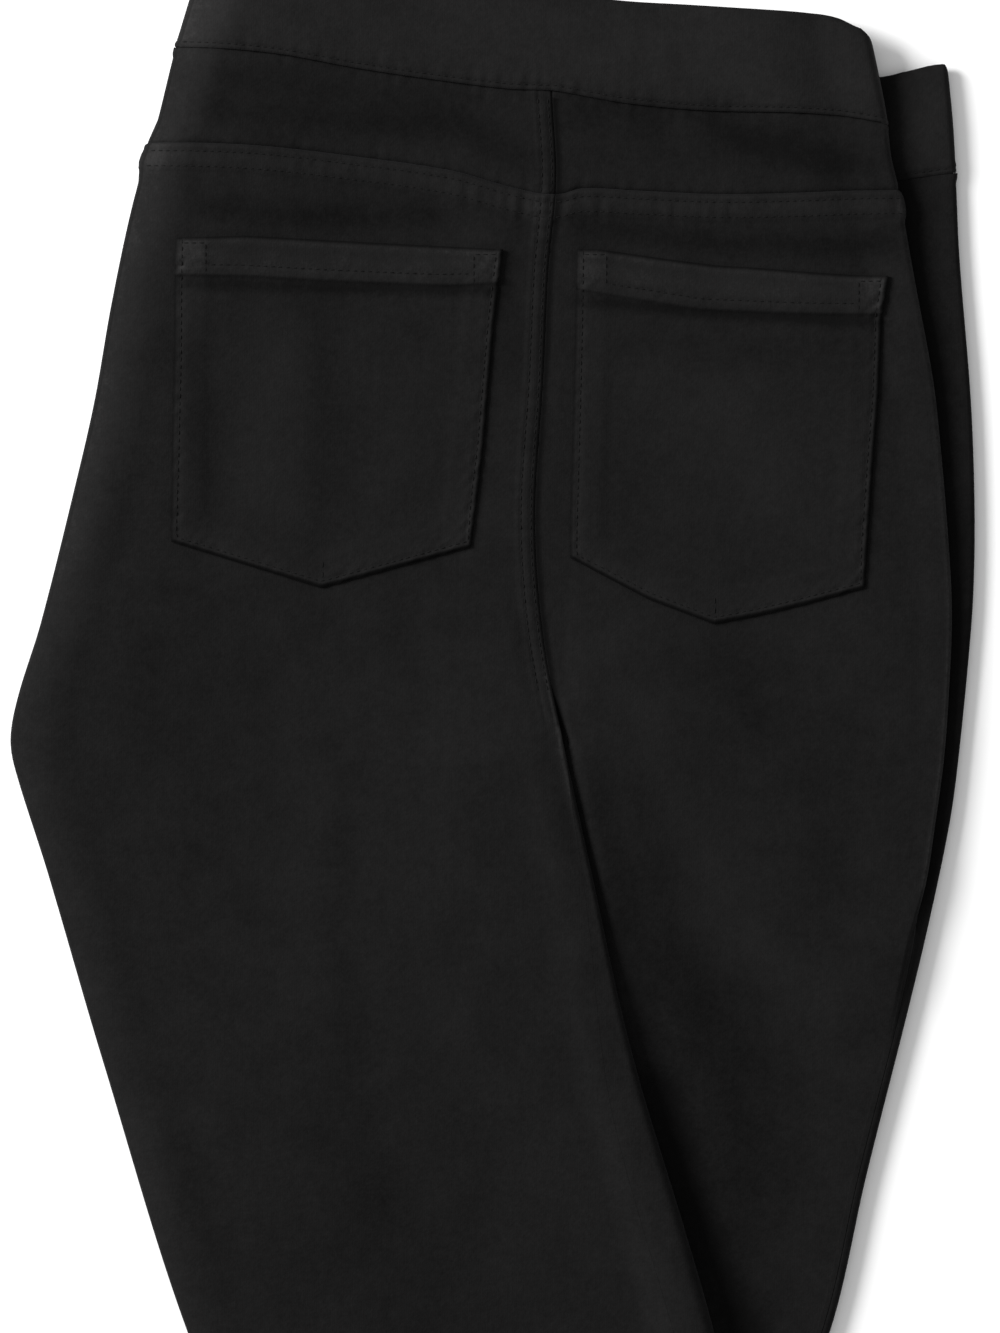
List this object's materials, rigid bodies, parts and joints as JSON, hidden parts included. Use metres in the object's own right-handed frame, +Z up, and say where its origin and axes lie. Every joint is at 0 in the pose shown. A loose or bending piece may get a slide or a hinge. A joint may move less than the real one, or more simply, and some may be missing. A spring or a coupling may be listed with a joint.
{
  "type": "leggings",
  "caption": "Pull-on knit leggings laid flat, back up, with patch pockets, a back yoke and tapered legs that cross below the knee.",
  "frame": {"origin": "centre of the laid garment's outline, on the surface that it lies on", "axes": "+Y towards the waist, +Z up out of the surface towards the garment's back, +X towards the wearer's right"},
  "size_m": [0.4092, 1.0062, 0.0124],
  "materials": {
    "knit": "matte double knit",
    "band": "matte double knit over elastic",
    "pocket": "matte double knit"
  },
  "bodies": {
    "root": {"waistband_back": "band", "waistband_front": "band", "yoke_left": "knit", "yoke_right": "knit", "back_left": "knit", "back_right": "knit", "front_left": "knit", "front_right": "knit", "pocket_left": "pocket", "pocket_right": "pocket"}
  },
  "joints": []
}
